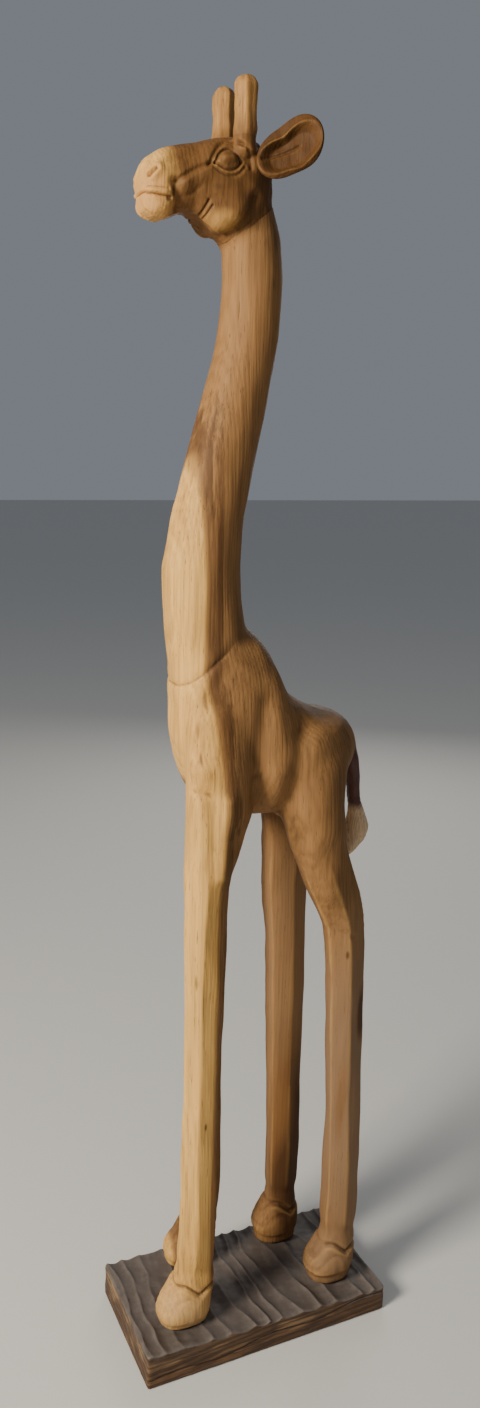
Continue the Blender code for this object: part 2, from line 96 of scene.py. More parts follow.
for name, (place, aim, width, watts, colour) in LAMPS.items():
    lamp_data = bpy.data.lights.new(name, "AREA")
    lamp_data.shape = "DISK"
    lamp_data.size = width
    lamp_data.energy = watts
    lamp_data.color = colour
    lamp = bpy.data.objects.new(name, lamp_data)
    bpy.context.scene.collection.objects.link(lamp)
    lamp.location = place
    lamp.rotation_euler = (Vector(aim) - Vector(place)).to_track_quat("-Z", "Y").to_euler()

world = bpy.data.worlds.new("studio")
world.use_nodes = True
background = world.node_tree.nodes["Background"]
background.inputs["Color"].default_value = ROOM_COLOUR
background.inputs["Strength"].default_value = ROOM_STRENGTH
bpy.context.scene.world = world

bpy.ops.mesh.primitive_plane_add(size=FLOOR_SIZE, location=(0.0, 0.0, cad_low[2] - FLOOR_DROP))
floor = bpy.context.object
floor.name = "studio_floor"
floor_paint = bpy.data.materials.new("studio_floor")
floor_paint.use_nodes = True
floor_shader = floor_paint.node_tree.nodes["Principled BSDF"]
floor_shader.inputs["Base Color"].default_value = FLOOR_PALE
floor_shader.inputs["Roughness"].default_value = FLOOR_ROUGHNESS
floor.data.materials.append(floor_paint)


# The plank: one board, its top gouged across in rough flutes and stained nearly black.
# The stain wears off down the sides, where the figured grain and rounded, knocked edges show.
PLANK_VOXEL = 0.0021
PLANK_TOPS = (0.059, 0.045)
GOUGED_SKIN = (0.018, 0.004)
FLUTE_PITCH = 0.0310
FLUTE_DEPTH = 0.0050
FLUTE_ROUNDNESS = 0.75
SAW_WAVES = 1500
SAW_DEPTH = 0.0004
SPLIT_FOOT = 0.012
SPLIT_CLIMB = 0.022
SPLIT_DEPTH = 0.0020
SPLIT_WIDTH = 0.0016
GRAIN_WAVES = 640
PLANK_SHEEN = 0.32
STAIN = (0.078, 0.061, 0.052, 1.0)
# The worn stain: real wear, and also the painted highlight on the flute crests.
STAIN_WORN_AND_HIGHLIGHT = (0.150, 0.125, 0.108, 1.0)
PLANK_BROWN = (0.150, 0.076, 0.032, 1.0)
PLANK_PALE = (0.255, 0.155, 0.076, 1.0)
PLANK_DARK = (0.040, 0.020, 0.011, 1.0)


class Value:
    """A shader socket in arithmetic: each operator adds one Math node."""

    def __init__(self, finish, socket):
        self.finish = finish
        self.socket = socket

    def __add__(self, other):
        return self.finish.math("ADD", self, other)

    def __radd__(self, other):
        return self.finish.math("ADD", other, self)

    def __sub__(self, other):
        return self.finish.math("SUBTRACT", self, other)

    def __rsub__(self, other):
        return self.finish.math("SUBTRACT", other, self)

    def __mul__(self, other):
        return self.finish.math("MULTIPLY", self, other)

    def __rmul__(self, other):
        return self.finish.math("MULTIPLY", other, self)

    def __truediv__(self, other):
        return self.finish.math("DIVIDE", self, other)

    def __rtruediv__(self, other):
        return self.finish.math("DIVIDE", other, self)

    def __abs__(self):
        return self.finish.math("ABSOLUTE", self)


class Finish:
    """One procedural material, worked in the statue's own metres."""

    def __init__(self, name):
        self.material = bpy.data.materials.new(name)
        self.material.use_nodes = True
        self.tree = self.material.node_tree
        self.shader = self.tree.nodes["Principled BSDF"]
        self.point = self.node("ShaderNodeTexCoord", {}, {}, "Object")

    def node(self, kind, settings, inputs, output=0):
        """Adds a node with its settings, then sets or links its inputs, and gives one output."""
        made = self.tree.nodes.new(kind)
        for key, value in settings.items():
            setattr(made, key, value)
        for key, value in inputs.items():
            if isinstance(value, Value):
                self.tree.links.new(value.socket, made.inputs[key])
            else:
                made.inputs[key].default_value = value
        return Value(self, made.outputs[output])

    def math(self, operation, *values):
        return self.node("ShaderNodeMath", {"operation": operation}, dict(enumerate(values)))

    def vector(self, operation, *values):
        return self.node("ShaderNodeVectorMath", {"operation": operation}, dict(enumerate(values)))

    def axis(self, name, source=None):
        return self.node("ShaderNodeSeparateXYZ", {}, {"Vector": source or self.point}, name)

    def noise(self, stretch, detail=3.0, roughness=0.55):
        """Noise about 0.5, with stretch as its lumps per metre along X, Y and Z."""
        spot = self.vector("MULTIPLY", self.point, stretch)
        inputs = {"Vector": spot, "Scale": 1.0, "Detail": detail, "Roughness": roughness}
        return self.node("ShaderNodeTexNoise", {}, inputs)

    def rise(self, value, low, high):
        """A smooth step from 0 at low to 1 at high."""
        inputs = {"Value": value, "From Min": low, "From Max": high}
        return self.node("ShaderNodeMapRange", {"interpolation_type": "SMOOTHSTEP"}, inputs)

    def mix(self, share, first, second, blend="MIX"):
        """A colour that goes from the first at share 0 to the second at share 1."""
        settings = {"data_type": "RGBA", "blend_type": blend}
        return self.node("ShaderNodeMix", settings, {0: share, 6: first, 7: second}, 2)

    def spot(self, centre, reach):
        """1 at a centre, falling to 0 on an ellipsoid of the given half sizes."""
        offset = self.vector("SUBTRACT", self.point, centre)
        scaled = self.vector("DIVIDE", offset, reach)
        length = self.node("ShaderNodeVectorMath", {"operation": "LENGTH"}, {0: scaled}, "Value")
        return self.rise(length, 1.0, 0.25)

    def patina_and_highlight(self):
        """The mesh's own measure of recess: above 0 in a groove and below 0 on a ridge."""
        return self.node("ShaderNodeAttribute", {"attribute_name": "patina_and_highlight"}, {}, "Fac")

    def finish(self, colour, roughness, height, depth):
        """Links the shader, with height as a relief of the given depth in metres."""
        bump = self.node(
            "ShaderNodeBump", {}, {"Height": height, "Distance": depth, "Strength": 1.0}
        )
        for socket, value in (("Base Color", colour), ("Roughness", roughness), ("Normal", bump)):
            self.tree.links.new(value.socket, self.shader.inputs[socket])
        return self.material


def coordinates(mesh):
    points = np.empty(len(mesh.vertices) * 3)
    mesh.vertices.foreach_get("co", points)
    return points.reshape(-1, 3)


def normals(mesh):
    found = np.empty(len(mesh.vertices) * 3)
    mesh.vertex_normals.foreach_get("vector", found)
    return found.reshape(-1, 3)


def move_points(mesh, points):
    mesh.vertices.foreach_set("co", points.ravel())
    mesh.update()


def bell(distance, width):
    return np.exp(-((distance / width) ** 2))


def ease(value, low, high):
    share = np.clip((value - low) / (high - low), 0.0, 1.0)
    return share * share * (3 - 2 * share)


def wobble(points, size, seed, waves=18):
    """A smooth field of about -1 to 1, with lumps of the given size, the same on every run."""
    draw = np.random.RandomState(seed)
    field = np.zeros(len(points))
    for _ in range(waves):
        direction = draw.normal(size=3)
        direction *= 2 * math.pi / (size * draw.uniform(1.4, 3.0)) / np.linalg.norm(direction)
        field += np.sin(points @ direction + draw.uniform(0, 2 * math.pi))
    return field / math.sqrt(waves)


def store_patina_and_highlight(mesh, rounds, gain):
    """Writes how far each point lies below the mean of its surroundings, for dirt and wear, and for a
    painted highlight on the plank's flute crests.
    """
    ends = np.empty(len(mesh.edges) * 2, dtype=np.int64)
    mesh.edges.foreach_get("vertices", ends)
    first, second = ends[0::2], ends[1::2]
    size = len(mesh.vertices)
    count = np.bincount(ends, minlength=size)
    points = coordinates(mesh)
    mean = points.copy()
    for _ in range(rounds):
        for axis in range(3):
            total = np.bincount(first, mean[second, axis], size)
            total += np.bincount(second, mean[first, axis], size)
            mean[:, axis] = total / count
    recess = ((mean - points) * normals(mesh)).sum(axis=1)
    layer = mesh.attributes.new("patina_and_highlight", "FLOAT", "POINT")
    layer.data.foreach_set("value", np.clip(recess * gain, -1, 1).astype(np.float32))


def skin_over(name, nodes, voxel, swell, rounds, balls=()):
    """One closed, faired skin over CAD nodes, swollen first so that their glue gaps close.

    Each ball, a centre and a radius, fills a hollow that another piece was to be seated in.
    """
    joined = bmesh.new()
    for centre, radius in balls:
        place = Matrix.Translation(centre)
        bmesh.ops.create_icosphere(joined, subdivisions=3, radius=radius, matrix=place)
    for node in nodes:
        source = bmesh.new()
        source.from_mesh(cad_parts[node].data)
        bmesh.ops.remove_doubles(source, verts=source.verts, dist=0.00002)
        bmesh.ops.recalc_face_normals(source, faces=source.faces)
        source.normal_update()
        for vertex in source.verts:
            vertex.co += vertex.normal * swell
        part = bpy.data.meshes.new("part")
        source.to_mesh(part)
        source.free()
        joined.from_mesh(part)
        bpy.data.meshes.remove(part)
    mesh = bpy.data.meshes.new(name)
    joined.to_mesh(mesh)
    joined.free()
    rough = bpy.data.objects.new(name, mesh)
    bpy.context.scene.collection.objects.link(rough)
    remesh = rough.modifiers.new("skin", "REMESH")
    remesh.mode = "VOXEL"
    remesh.voxel_size = voxel
    fair = rough.modifiers.new("fair", "SMOOTH")
    fair.factor = 0.5
    fair.iterations = rounds
    graph = bpy.context.evaluated_depsgraph_get()
    skin = bpy.data.meshes.new_from_object(rough.evaluated_get(graph), depsgraph=graph)
    bpy.data.objects.remove(rough)
    return skin


def add_piece(name, mesh, material, slot_name, *nodes):
    """Puts a finished mesh in the scene, in place of the CAD nodes that it stands for."""
    piece = bpy.data.objects.new(name, mesh)
    bpy.context.scene.collection.objects.link(piece)
    mesh.materials.clear()
    mesh.materials.append(material)
    mesh.polygons.foreach_set("use_smooth", np.ones(len(mesh.polygons), dtype=bool))
    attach(piece, "root")
    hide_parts(*nodes)
    return piece


def gouge_plank(mesh):
    """Cuts flutes across the sloping top, and saw marks, chips and one long split in the sides."""
    low, high = (np.array(corner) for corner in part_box("base_plank"))
    points = coordinates(mesh)
    facing = normals(mesh)
    run = (points[:, 1] - low[1]) / (high[1] - low[1])
    top_plane = PLANK_TOPS[0] + run * (PLANK_TOPS[1] - PLANK_TOPS[0])
    top = ease(points[:, 2], top_plane - GOUGED_SKIN[0], top_plane - GOUGED_SKIN[1])
    side = ease(1 - np.abs(facing[:, 2]), 0.4, 0.9)
    across = points[:, 0] - low[0]
    wander = 0.008 * np.sin(across * 17 + points[:, 1] * 8) + 0.0030 * wobble(points, 0.035, 3)
    along = (points[:, 1] - low[1] + wander - 0.06 * across) / FLUTE_PITCH
    along += 0.24 * np.sin(points[:, 1] * 29) + 0.14 * np.sin(points[:, 1] * 67)
    scallop = np.abs(np.sin(math.pi * along)) ** FLUTE_ROUNDNESS
    strokes = np.clip(0.82 + 0.22 * wobble(points * (1, 0.5, 1), 0.030, 5), 0.35, 1.15)
    tooth = 0.0004 * wobble(points, 0.008, 6)
    points[:, 2] -= top * (FLUTE_DEPTH * scallop * strokes + 0.0003 + tooth)
    chips = 0.0005 * wobble(points, 0.014, 7) + 0.0009 * wobble(points, 0.06, 8)
    rough_sawn = SAW_DEPTH * np.sin(points[:, 2] * SAW_WAVES + 9 * wobble(points, 0.08, 9))
    split_line = points[:, 2] - SPLIT_FOOT - SPLIT_CLIMB * run - 0.004 * np.sin(run * 16)
    split = SPLIT_DEPTH * bell(split_line, SPLIT_WIDTH) * ease(facing[:, 0], 0.3, 0.6)
    worn = np.clip(chips, 0, 1) + rough_sawn * 0.5 + split
    points -= facing * (side * worn)[:, None]
    points[:, 2] = np.maximum(points[:, 2], low[2])
    move_points(mesh, points)


def plank_finish():
    """Dark stain on top that runs a little way down bare, figured sides."""
    made = Finish("gouged_plank")
    height, length, width = made.axis("Z"), made.axis("Y"), made.axis("X")
    upward_part = made.axis("Z", made.node("ShaderNodeNewGeometry", {}, {}, "Normal"))
    recess = made.patina_and_highlight()
    figure = made.noise((7, 2.0, 22), 3)
    fine = made.noise((90, 7, 420), 4, 0.65)
    fibres = made.noise((420, 34, 420), 3)
    blotch = made.noise((22, 9, 30), 3)
    bend = height + figure * 0.060 + width * 0.10 - length * 0.04
    layer = made.math("SINE", bend * GRAIN_WAVES) * 0.5 + 0.5
    lines = made.rise(layer * 0.35 + fine * 0.95, 0.42, 0.88)
    brown = made.mix(made.rise(blotch + (height - 0.03) * 9, 0.40, 0.75), PLANK_BROWN, PLANK_PALE)
    brown = made.mix(lines * 0.85, brown, PLANK_DARK)
    brown = made.mix(made.rise(blotch, 0.60, 0.48) * 0.55, brown, PLANK_DARK)
    brown = made.mix(made.rise(recess, 0.10, 0.60) * 0.8, brown, PLANK_DARK)
    worn = made.noise((34, 70, 34), 4, 0.65)
    # Random rubs and the flute crests take the worn stain. On the crests it is partly wear and partly a
    # painted highlight.
    rubbed_and_crest_highlight = worn * 0.6 - recess * 0.22 + 0.20
    stained = made.mix(made.rise(rubbed_and_crest_highlight, 0.38, 0.85), STAIN, STAIN_WORN_AND_HIGHLIGHT)
    stained = made.mix(made.rise(fibres, 0.5, 0.8) * 0.3, stained, STAIN_WORN_AND_HIGHLIGHT)
    drips = made.noise((55, 55, 18), 3)
    on_top = made.rise(upward_part + (drips - 0.5) * 0.5, 0.30, 0.62)
    skirt = made.rise(height + (drips - 0.5) * 0.030, 0.048, 0.060) * 0.45
    stain = made.math("MAXIMUM", on_top, skirt)
    colour = made.mix(stain, brown, stained)
    roughness = 0.58 + (fibres - 0.5) * 0.3 + (1 - stain) * 0.06
    relief = fibres * 0.35 + fine * 0.5 + worn * 0.3
    made.shader.inputs["Specular IOR Level"].default_value = PLANK_SHEEN
    return made.finish(colour, roughness, relief, 0.0010)


plank_mesh = skin_over("plank", ["base_plank"], PLANK_VOXEL, 0.0, 2)
gouge_plank(plank_mesh)
store_patina_and_highlight(plank_mesh, 5, 700)
add_piece("plank", plank_mesh, plank_finish(), "dark_stained_wood", "base_plank")


# The carved body: torso, neck and four legs, glued up from one log and carved as one skin.
# The log stands upright, pale sapwood to the front, so the grain runs up through every piece.
BODY_X = -0.015
BODY_VOXEL = 0.0030
BODY_SWELL = 0.0010
BODY_ROUNDS = 14
NECK_JOINT = Vector((BODY_X, -0.080, 1.113))
NECK_TILT = math.radians(41)
HEAD_JOINT = Vector((BODY_X, -0.026, 1.694))
HEAD_TILT = math.radians(36)
LEG_JOINT = Vector((0.0, 0.0, (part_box("torso")[0][2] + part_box("front_left_leg")[1][2]) / 2))
PITH = (-0.030, 0.160)
SAPWOOD_RADIUS = 0.268
SAP = (0.730, 0.420, 0.122, 1.0)
SAP_WARM = (0.560, 0.305, 0.086, 1.0)
HEART = (0.290, 0.148, 0.054, 1.0)
HEART_RED = (0.205, 0.095, 0.032, 1.0)
STREAK = (0.085, 0.038, 0.015, 1.0)
TRUNK_BORDER = 0.7
LEG_BORDER = 0.5
OILED_SHEEN = 0.14
RING_WAVES = 1150
LEG_NODES = ("front_left_leg", "front_right_leg", "hind_left_leg", "hind_right_leg")
LEG_SPLIT_Y = 0.022
LEG_FOOT = 0.05
LEG_TOP = 0.86
LEG_BAND = 0.02
LEG_BANDS = 40
LEG_CORNERS = 6
LEG_TURN = {"front_left_leg": 0.36, "hind_left_leg": 0.10}
FACET_FULLNESS = 1.055
FACET_STRENGTH = 0.85
FACETS_START = (0.115, 0.175)
FACETS_END = (0.74, 0.83)


def rounded_path(path):
    """A path with its corners rounded off, by cutting them twice."""
    for _ in range(2):
        cut = [path[0]]
        for (a, b), (c, d) in zip(path, path[1:]):
            cut.append((a * 0.75 + c * 0.25, b * 0.75 + d * 0.25))
            cut.append((a * 0.25 + c * 0.75, b * 0.25 + d * 0.75))
        path = [*cut, path[-1]]
    return path


def stroke_distance(points, path):
    """Distance in the side view, Y and Z, from a rounded path of (y, z) points."""
    nearest = np.full(len(points), 1e9)
    flat = points[:, 1:3]
    path = rounded_path(path)
    for start, end in zip(path, path[1:]):
        start, end = np.array(start), np.array(end)
        run = end - start
        share = np.clip(((flat - start) @ run) / (run @ run), 0, 1)
        nearest = np.minimum(nearest, np.linalg.norm(flat - start - share[:, None] * run, axis=1))
    return nearest


def flank(points, facing, side):
    """How much of the surface looks out to one side, +1 for the left and -1 for the right."""
    return ease(facing[:, 0] * side, 0.05, 0.45) * (np.sign(points[:, 0] - BODY_X) == side)


def flat_face_legs(points):
    """Knife facets: each leg's round section becomes a six-sided post.

    A leg's middle and half widths are measured in level bands, and the facets are cut to them.
    """
    for node in LEG_NODES:
        ours = (points[:, 0] > BODY_X) == ("left" in node)
        ours &= (points[:, 1] < LEG_SPLIT_Y) == ("front" in node)
        ours &= (points[:, 2] < LEG_TOP) & (points[:, 2] > LEG_FOOT)
        part = points[ours]
        heights = part[:, 2]
        bands = np.clip(((heights - LEG_FOOT) / LEG_BAND).astype(int), 0, LEG_BANDS - 1)
        levels = LEG_FOOT + LEG_BAND / 2 + LEG_BAND * np.arange(LEG_BANDS)
        frames = []
        for axis in (0, 1):
            most = np.full(LEG_BANDS, -9.0)
            least = np.full(LEG_BANDS, 9.0)
            np.maximum.at(most, bands, part[:, axis])
            np.minimum.at(least, bands, part[:, axis])
            filled = most > least
            centre = np.interp(heights, levels[filled], (most + least)[filled] / 2)
            half = np.interp(heights, levels[filled], (most - least)[filled] / 2)
            frames.append((centre, half))
        (centre_x, half_x), (centre_y, half_y) = frames
        offset_x = (part[:, 0] - centre_x) / half_x
        offset_y = (part[:, 1] - centre_y) / half_y
        lean = 0.06 * np.sin(heights * 7 + centre_x.mean() * 90) + LEG_TURN.get(node, 0.0)
        turn = np.arctan2(offset_y, offset_x) + lean
        wedge = 2 * math.pi / LEG_CORNERS
        within = np.mod(turn, wedge) - wedge / 2
        reach = FACET_FULLNESS * math.cos(wedge / 2) / np.cos(within)
        strength = FACET_STRENGTH * ease(heights, *FACETS_START) * (1 - ease(heights, *FACETS_END))
        radius = np.hypot(offset_x, offset_y)
        scale = 1 + strength * (reach / np.maximum(radius, 0.5) - 1)
        points[ours, 0] = centre_x + offset_x * half_x * scale
        points[ours, 1] = centre_y + offset_y * half_y * scale


# Gouged creases and fairings of the body: side (+1 left, -1 right, 0 both), path in (y, z),
# height (below 0 is a cut) and half width.
BODY_STROKES = [
    (1, [(-0.016, 1.050), (-0.025, 1.000), (-0.028, 0.960), (-0.028, 0.915)], -0.0060, 0.015),
    (1, [(-0.028, 0.940), (-0.036, 0.895), (-0.050, 0.866), (-0.063, 0.840)], -0.0030, 0.010),
    (-1, [(0.014, 1.020), (0.010, 0.960), (0.006, 0.900), (-0.004, 0.860)], -0.0050, 0.014),
    (0, [(0.046, 1.005), (0.038, 0.970), (0.029, 0.925), (0.030, 0.885), (0.040, 0.840)],
     -0.0062, 0.013),
    (0, [(0.037, 0.850), (0.050, 0.810)], -0.0020, 0.010),
    (0, [(0.082, 0.970), (0.078, 0.905), (0.084, 0.855)], 0.0060, 0.028),
    (0, [(0.060, 0.990), (0.100, 0.996)], 0.0035, 0.018),
    (0, [(0.002, 0.945), (0.004, 0.900)], 0.0060, 0.018),
    (0, [(0.016, 1.050), (0.040, 1.005)], -0.0045, 0.022),
    (1, [(-0.080, 1.030), (-0.078, 0.970), (-0.066, 0.905)], 0.0045, 0.026),
    (1, [(-0.160, 0.938), (-0.128, 0.930), (-0.107, 0.928)], -0.0030, 0.0060),
    (1, [(-0.103, 0.922), (-0.098, 0.895), (-0.099, 0.850)], -0.0020, 0.0090),
    (1, [(-0.150, 0.962), (-0.112, 0.960)], 0.0052, 0.015),
    (1, [(-0.080, 0.915), (-0.080, 0.860), (-0.088, 0.805)], 0.0050, 0.0110),
    (1, [(0.108, 0.688), (0.124, 0.678), (0.142, 0.668)], -0.0016, 0.0050),
    (1, [(-0.010, 0.870), (0.010, 0.868), (0.032, 0.868)], -0.0020, 0.0060),
    (0, [(0.082, 0.775), (0.094, 0.742)], 0.0030, 0.018),
]

# Each hoof's lines, in Y from its middle and Z: the coronet, the nail's own edge, the swelling of
# the nail and the narrow pastern over it. HOOVES gives each hoof's middle in Y and how much
# higher its lines lie. SEAM is the groove at the neck's root: depth, width, the ridge beside it.
CORONET = [(-0.050, 0.094), (-0.030, 0.100), (-0.018, 0.122), (-0.004, 0.126), (0.010, 0.114)]
CORONET += [(0.018, 0.106), (0.030, 0.112), (0.046, 0.114)]
HOOF_LINE = [(-0.044, 0.080), (-0.026, 0.086), (-0.012, 0.104), (0.002, 0.108), (0.012, 0.100)]
HOOF_CUTS = ((CORONET, 0.0042, 0.0034), (HOOF_LINE, 0.0016, 0.0026))
HOOF_SWELL = ([(-0.022, 0.084), (0.014, 0.088)], 0.0028, 0.017)
PASTERN = ([(-0.030, 0.146), (0.040, 0.142)], 0.0026, 0.014)
HOOF_REACH = 0.062
HOOF_TOP = 0.170
SEAM = (0.0018, 0.0026, 0.0012, 0.010, 0.008)
SOLE = (0.062, 0.072)
HOOVES = {
    "front_left_leg": (-0.129, 0.002),
    "front_right_leg": (-0.073, 0.000),
    "hind_left_leg": (0.135, -0.006),
    "hind_right_leg": (0.092, -0.002),
}


def carve_body(mesh):
    """Cuts the facets, creases, seam and hooves, then leaves shallow tool marks all over."""
    points = coordinates(mesh)
    flat_face_legs(points)
    move_points(mesh, points)
    facing = normals(mesh)
    push = np.zeros(len(points))
    for side, path, height, width in BODY_STROKES:
        shape = height * bell(stroke_distance(points, path), width)
        for way in (1, -1):
            if side in (0, way):
                push += shape * flank(points, facing, way)
    on_seam = np.abs((points - np.array(NECK_JOINT)) @ np.array(tilted_normal(NECK_TILT)))
    seam_side = ease(-points[:, 1], 0.050, 0.085)
    depth, width, ridge, offset, ridge_width = SEAM
    push -= seam_side * depth * bell(on_seam, width)
    push += seam_side * ridge * bell(on_seam - offset, ridge_width)
    for node, (foot_y, lift) in HOOVES.items():
        ours = (points[:, 0] > BODY_X) == ("left" in node)
        ours &= np.abs(points[:, 1] - foot_y) < HOOF_REACH
        ours &= points[:, 2] < HOOF_TOP
        for line, depth, width in HOOF_CUTS:
            path = [(foot_y + y, z + lift) for y, z in line]
            push -= ours * depth * bell(stroke_distance(points, path), width)
        crown = np.interp(points[:, 1] - foot_y, *zip(*CORONET)) + lift
        push += ours * 0.0026 * ease(crown - points[:, 2], -0.001, 0.005) * (points[:, 2] < 0.14)
        for way, (line, height, width) in ((1, HOOF_SWELL), (-1, PASTERN)):
            path = [(foot_y + y, z + lift) for y, z in line]
            push += ours * way * height * bell(stroke_distance(points, path), width)
        nail = np.sin((points[:, 0] - points[:, 1] * 0.4) * 900) * bell(points[:, 2] - 0.076, 0.018)
        push += ours * 0.0005 * nail
    push += 0.0006 * wobble(points * (1, 1, 0.35), 0.014, 21)
    push += 0.0010 * wobble(points * (1, 1, 0.30), 0.045, 22)
    above_sole = ease(points[:, 2], *SOLE)
    move_points(mesh, points + facing * (push * above_sole)[:, None])


def tilted_normal(tilt):
    """The upward normal of a joint plane that falls towards the head."""
    return Vector((0.0, -math.sin(tilt), math.cos(tilt)))


def cut_piece(mesh, name, planes, quarter=None):
    """The closed part of a skin on the inner side of each (point, outward normal) plane.

    A quarter, (left, front), keeps one leg of the four.
    """
    work = bmesh.new()
    work.from_mesh(mesh)
    for point, outward in planes:
        whole = work.verts[:] + work.edges[:] + work.faces[:]
        bmesh.ops.bisect_plane(
            work, geom=whole, plane_co=point, plane_no=outward, clear_outer=True
        )
        rim = [edge for edge in work.edges if edge.is_boundary]
        bmesh.ops.holes_fill(work, edges=rim, sides=0)
        for edge in rim:
            edge.smooth = False
    if quarter:
        left, front = quarter
        others = [
            vertex for vertex in work.verts
            if (vertex.co.x > BODY_X) != left or (vertex.co.y < LEG_SPLIT_Y) != front
        ]
        bmesh.ops.delete(work, geom=others, context="VERTS")
    bmesh.ops.triangulate(work, faces=[face for face in work.faces if len(face.verts) > 4])
    piece = bpy.data.meshes.new(name)
    work.to_mesh(piece)
    work.free()
    return piece


def log_wood(name, heart=HEART, sap_edge=SAPWOOD_RADIUS, blur=0.004, border=0.85, marks=()):
    """Oiled wood of one upright log: sapwood outside, dark streaks at its edge, brown heart.

    Blur and border say how soft and how dark the sapwood's edge is. Each mark is a knot, crack,
    patch or painted shade: its centre, half sizes, strength and colour.
    """
    made = Finish(name)
    x, y = made.axis("X"), made.axis("Y")
    recess = made.patina_and_highlight()
    drift = made.noise((5, 5, 1.7), 3) - 0.5
    streak = made.noise((95, 95, 1.6), 5, 0.68)
    fibre = made.noise((260, 260, 6), 5, 0.66)
    pore = made.noise((620, 620, 30), 2, 0.5)
    mottle = made.noise((14, 14, 5), 3)
    out_x, out_y = x - PITH[0], y - PITH[1]
    radius = made.math("SQRT", out_x * out_x + out_y * out_y) + drift * 0.020
    edge = radius + (streak - 0.5) * 0.018
    sapwood = made.rise(edge, sap_edge - blur, sap_edge + blur)
    rings = made.math("SINE", (radius + (streak - 0.5) * 0.008 + drift * 0.02) * RING_WAVES) * 0.5 + 0.5
    near_edge = 1 - abs(edge - (sap_edge - 0.011)) / 0.021
    dark_border = made.rise(near_edge * 0.80 + (streak - 0.5) * 2.0, 0.20, 0.78)
    sap_colour = made.mix(made.rise(mottle + (streak - 0.5) * 0.5, 0.35, 0.72), SAP, SAP_WARM)
    heart_shade = (*(0.66 * part for part in heart[:3]), 1.0)
    heart_colour = made.mix(made.rise(mottle + (streak - 0.5) * 0.5, 0.40, 0.75), heart, heart_shade)
    colour = made.mix(sapwood, heart_colour, sap_colour)
    colour = made.mix(dark_border * border, colour, STREAK)
    colour = made.mix(made.rise(streak, 0.53, 0.72) * (0.46 - sapwood * 0.28), colour, STREAK)
    colour = made.mix(rings * 0.13, colour, HEART_RED, "MULTIPLY")
    colour = made.mix(made.rise(fibre, 0.44, 0.74) * 0.36, colour, STREAK)
    speck = made.rise(pore, 0.67, 0.73)
    colour = made.mix(speck * 0.50, colour, STREAK)
    for centre, reach, strength, tint in marks:
        mark = made.spot(centre, reach) * (0.55 + streak * 0.9) * strength
        colour = made.mix(made.math("MINIMUM", mark, 0.95), colour, tint)
    colour = made.mix(made.rise(recess, 0.05, 0.80) * 0.72, colour, STREAK)
    colour = made.mix(made.rise(0 - recess, 0.10, 0.90) * 0.22, colour, SAP)
    roughness = 0.60 + (fibre - 0.5) * 0.30 + speck * 0.15
    relief = fibre * 0.60 + rings * 0.12 + streak * 0.5 - speck * 0.4
    made.shader.inputs["Specular IOR Level"].default_value = OILED_SHEEN
    return made.finish(colour, roughness, relief, 0.0011)


body_mesh = skin_over(
    "body",
    ["torso", "neck", *LEG_NODES, "neck_dowel_front", "neck_dowel_rear"]
    + ["head", "head_dowel", "tail_dowel"]
    + [f"{node}_dowel" for node in LEG_NODES],
    BODY_VOXEL,
    BODY_SWELL,
    BODY_ROUNDS,
)
carve_body(body_mesh)
store_patina_and_highlight(body_mesh, 4, 520)
above_neck_joint = (NECK_JOINT, -tilted_normal(NECK_TILT))
below_neck_joint = (NECK_JOINT, tilted_normal(NECK_TILT))
below_head_joint = (HEAD_JOINT, tilted_normal(HEAD_TILT))
above_leg_joint = (LEG_JOINT, Vector((0, 0, -1)))
below_leg_joint = (LEG_JOINT, Vector((0, 0, 1)))
CHEST_MARKS = (
    ((0.047, -0.103, 1.055), (0.012, 0.004, 0.026), 0.6, STREAK),
    ((0.049, -0.116, 1.015), (0.012, 0.003, 0.018), 0.5, STREAK),
    ((0.062, -0.081, 1.020), (0.014, 0.003, 0.030), 0.9, STREAK),
    ((0.058, -0.114, 0.976), (0.014, 0.003, 0.016), 0.6, STREAK),
    ((0.060, -0.085, 0.985), (0.040, 0.018, 0.110), 0.45, HEART_RED),
)
torso_mesh = cut_piece(body_mesh, "torso_carving", [above_leg_joint, below_neck_joint])
torso_wood = log_wood("torso_wood", border=TRUNK_BORDER, marks=CHEST_MARKS)
add_piece("torso_carving", torso_mesh, torso_wood, "carved_wood", "torso")
neck_mesh = cut_piece(body_mesh, "neck_carving", [above_neck_joint, below_head_joint])
add_piece("neck_carving", neck_mesh, log_wood("neck_wood", border=TRUNK_BORDER), "carved_wood", "neck")

